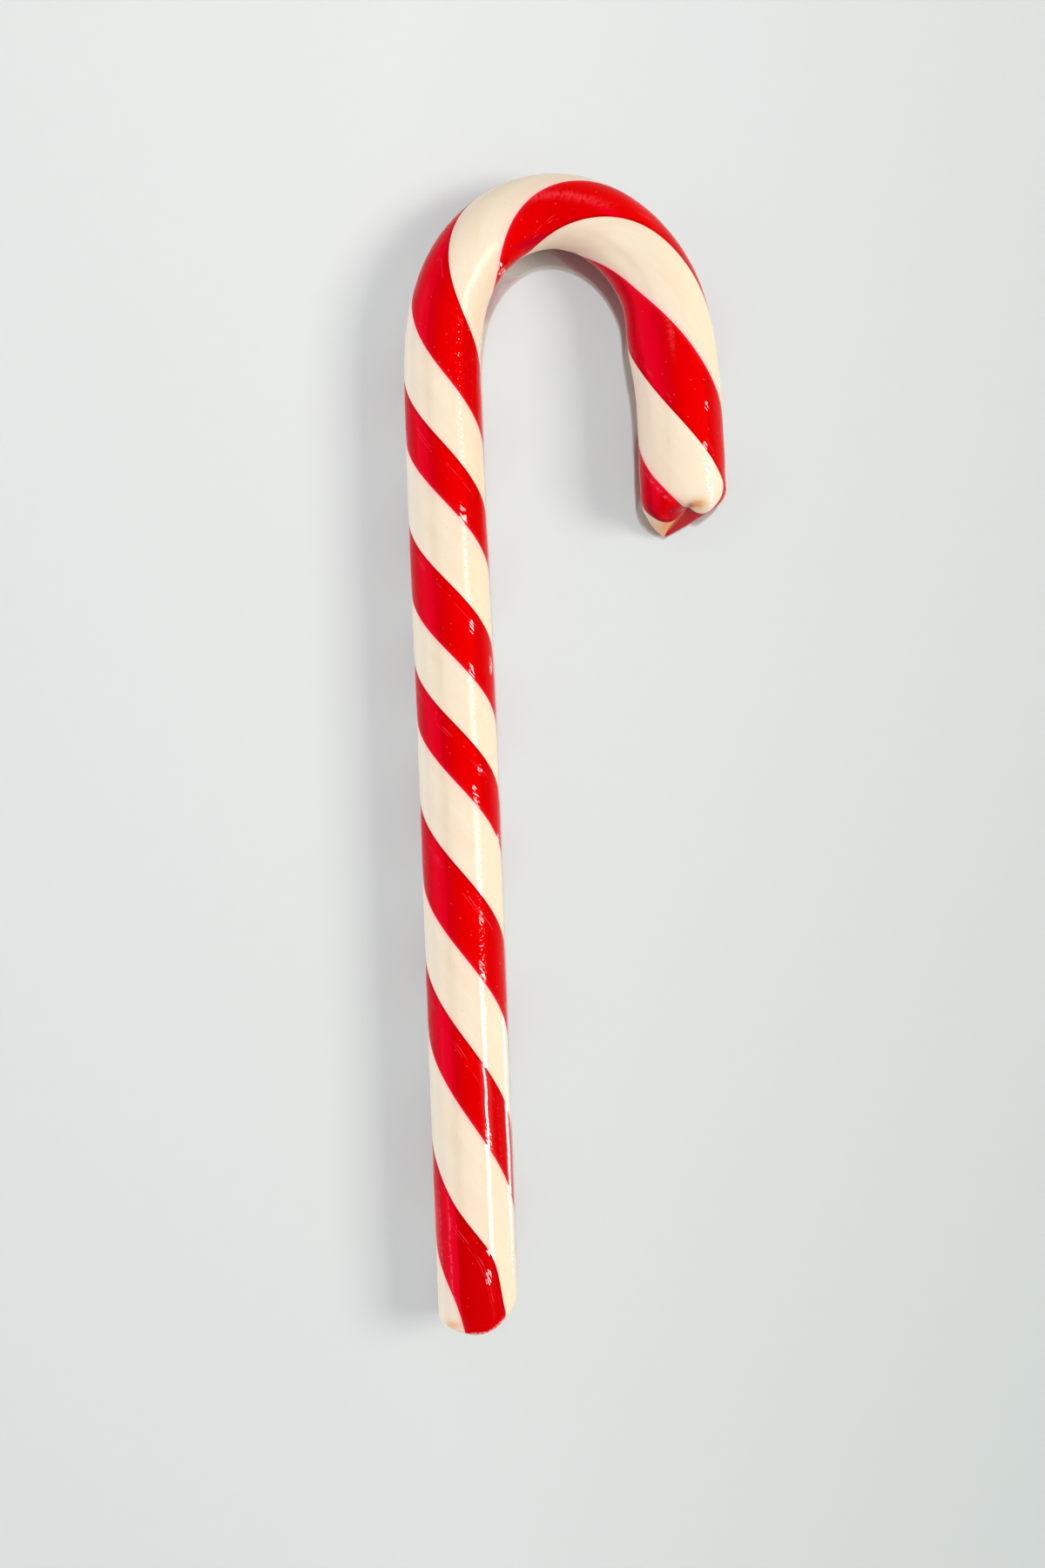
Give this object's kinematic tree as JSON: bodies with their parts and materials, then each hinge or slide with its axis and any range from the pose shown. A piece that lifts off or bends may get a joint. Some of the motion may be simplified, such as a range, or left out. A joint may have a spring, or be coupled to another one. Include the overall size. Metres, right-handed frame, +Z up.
{
  "type": "candy cane",
  "caption": "Twisted rod of red and cream boiled sugar bent into a crook, lying on its side, with one blunt end and one slanting end.",
  "frame": {"origin": "middle of the outline seen from above, on the floor under the cane", "axes": "+Z up, +Y along the stem towards the crook, +X the way the crook turns"},
  "size_m": [0.0494, 0.1782, 0.013],
  "materials": {
    "boiled_sugar": "glossy boiled sugar, striped red and cream"
  },
  "bodies": {
    "root": {"candy_cane": "boiled_sugar"}
  },
  "joints": []
}
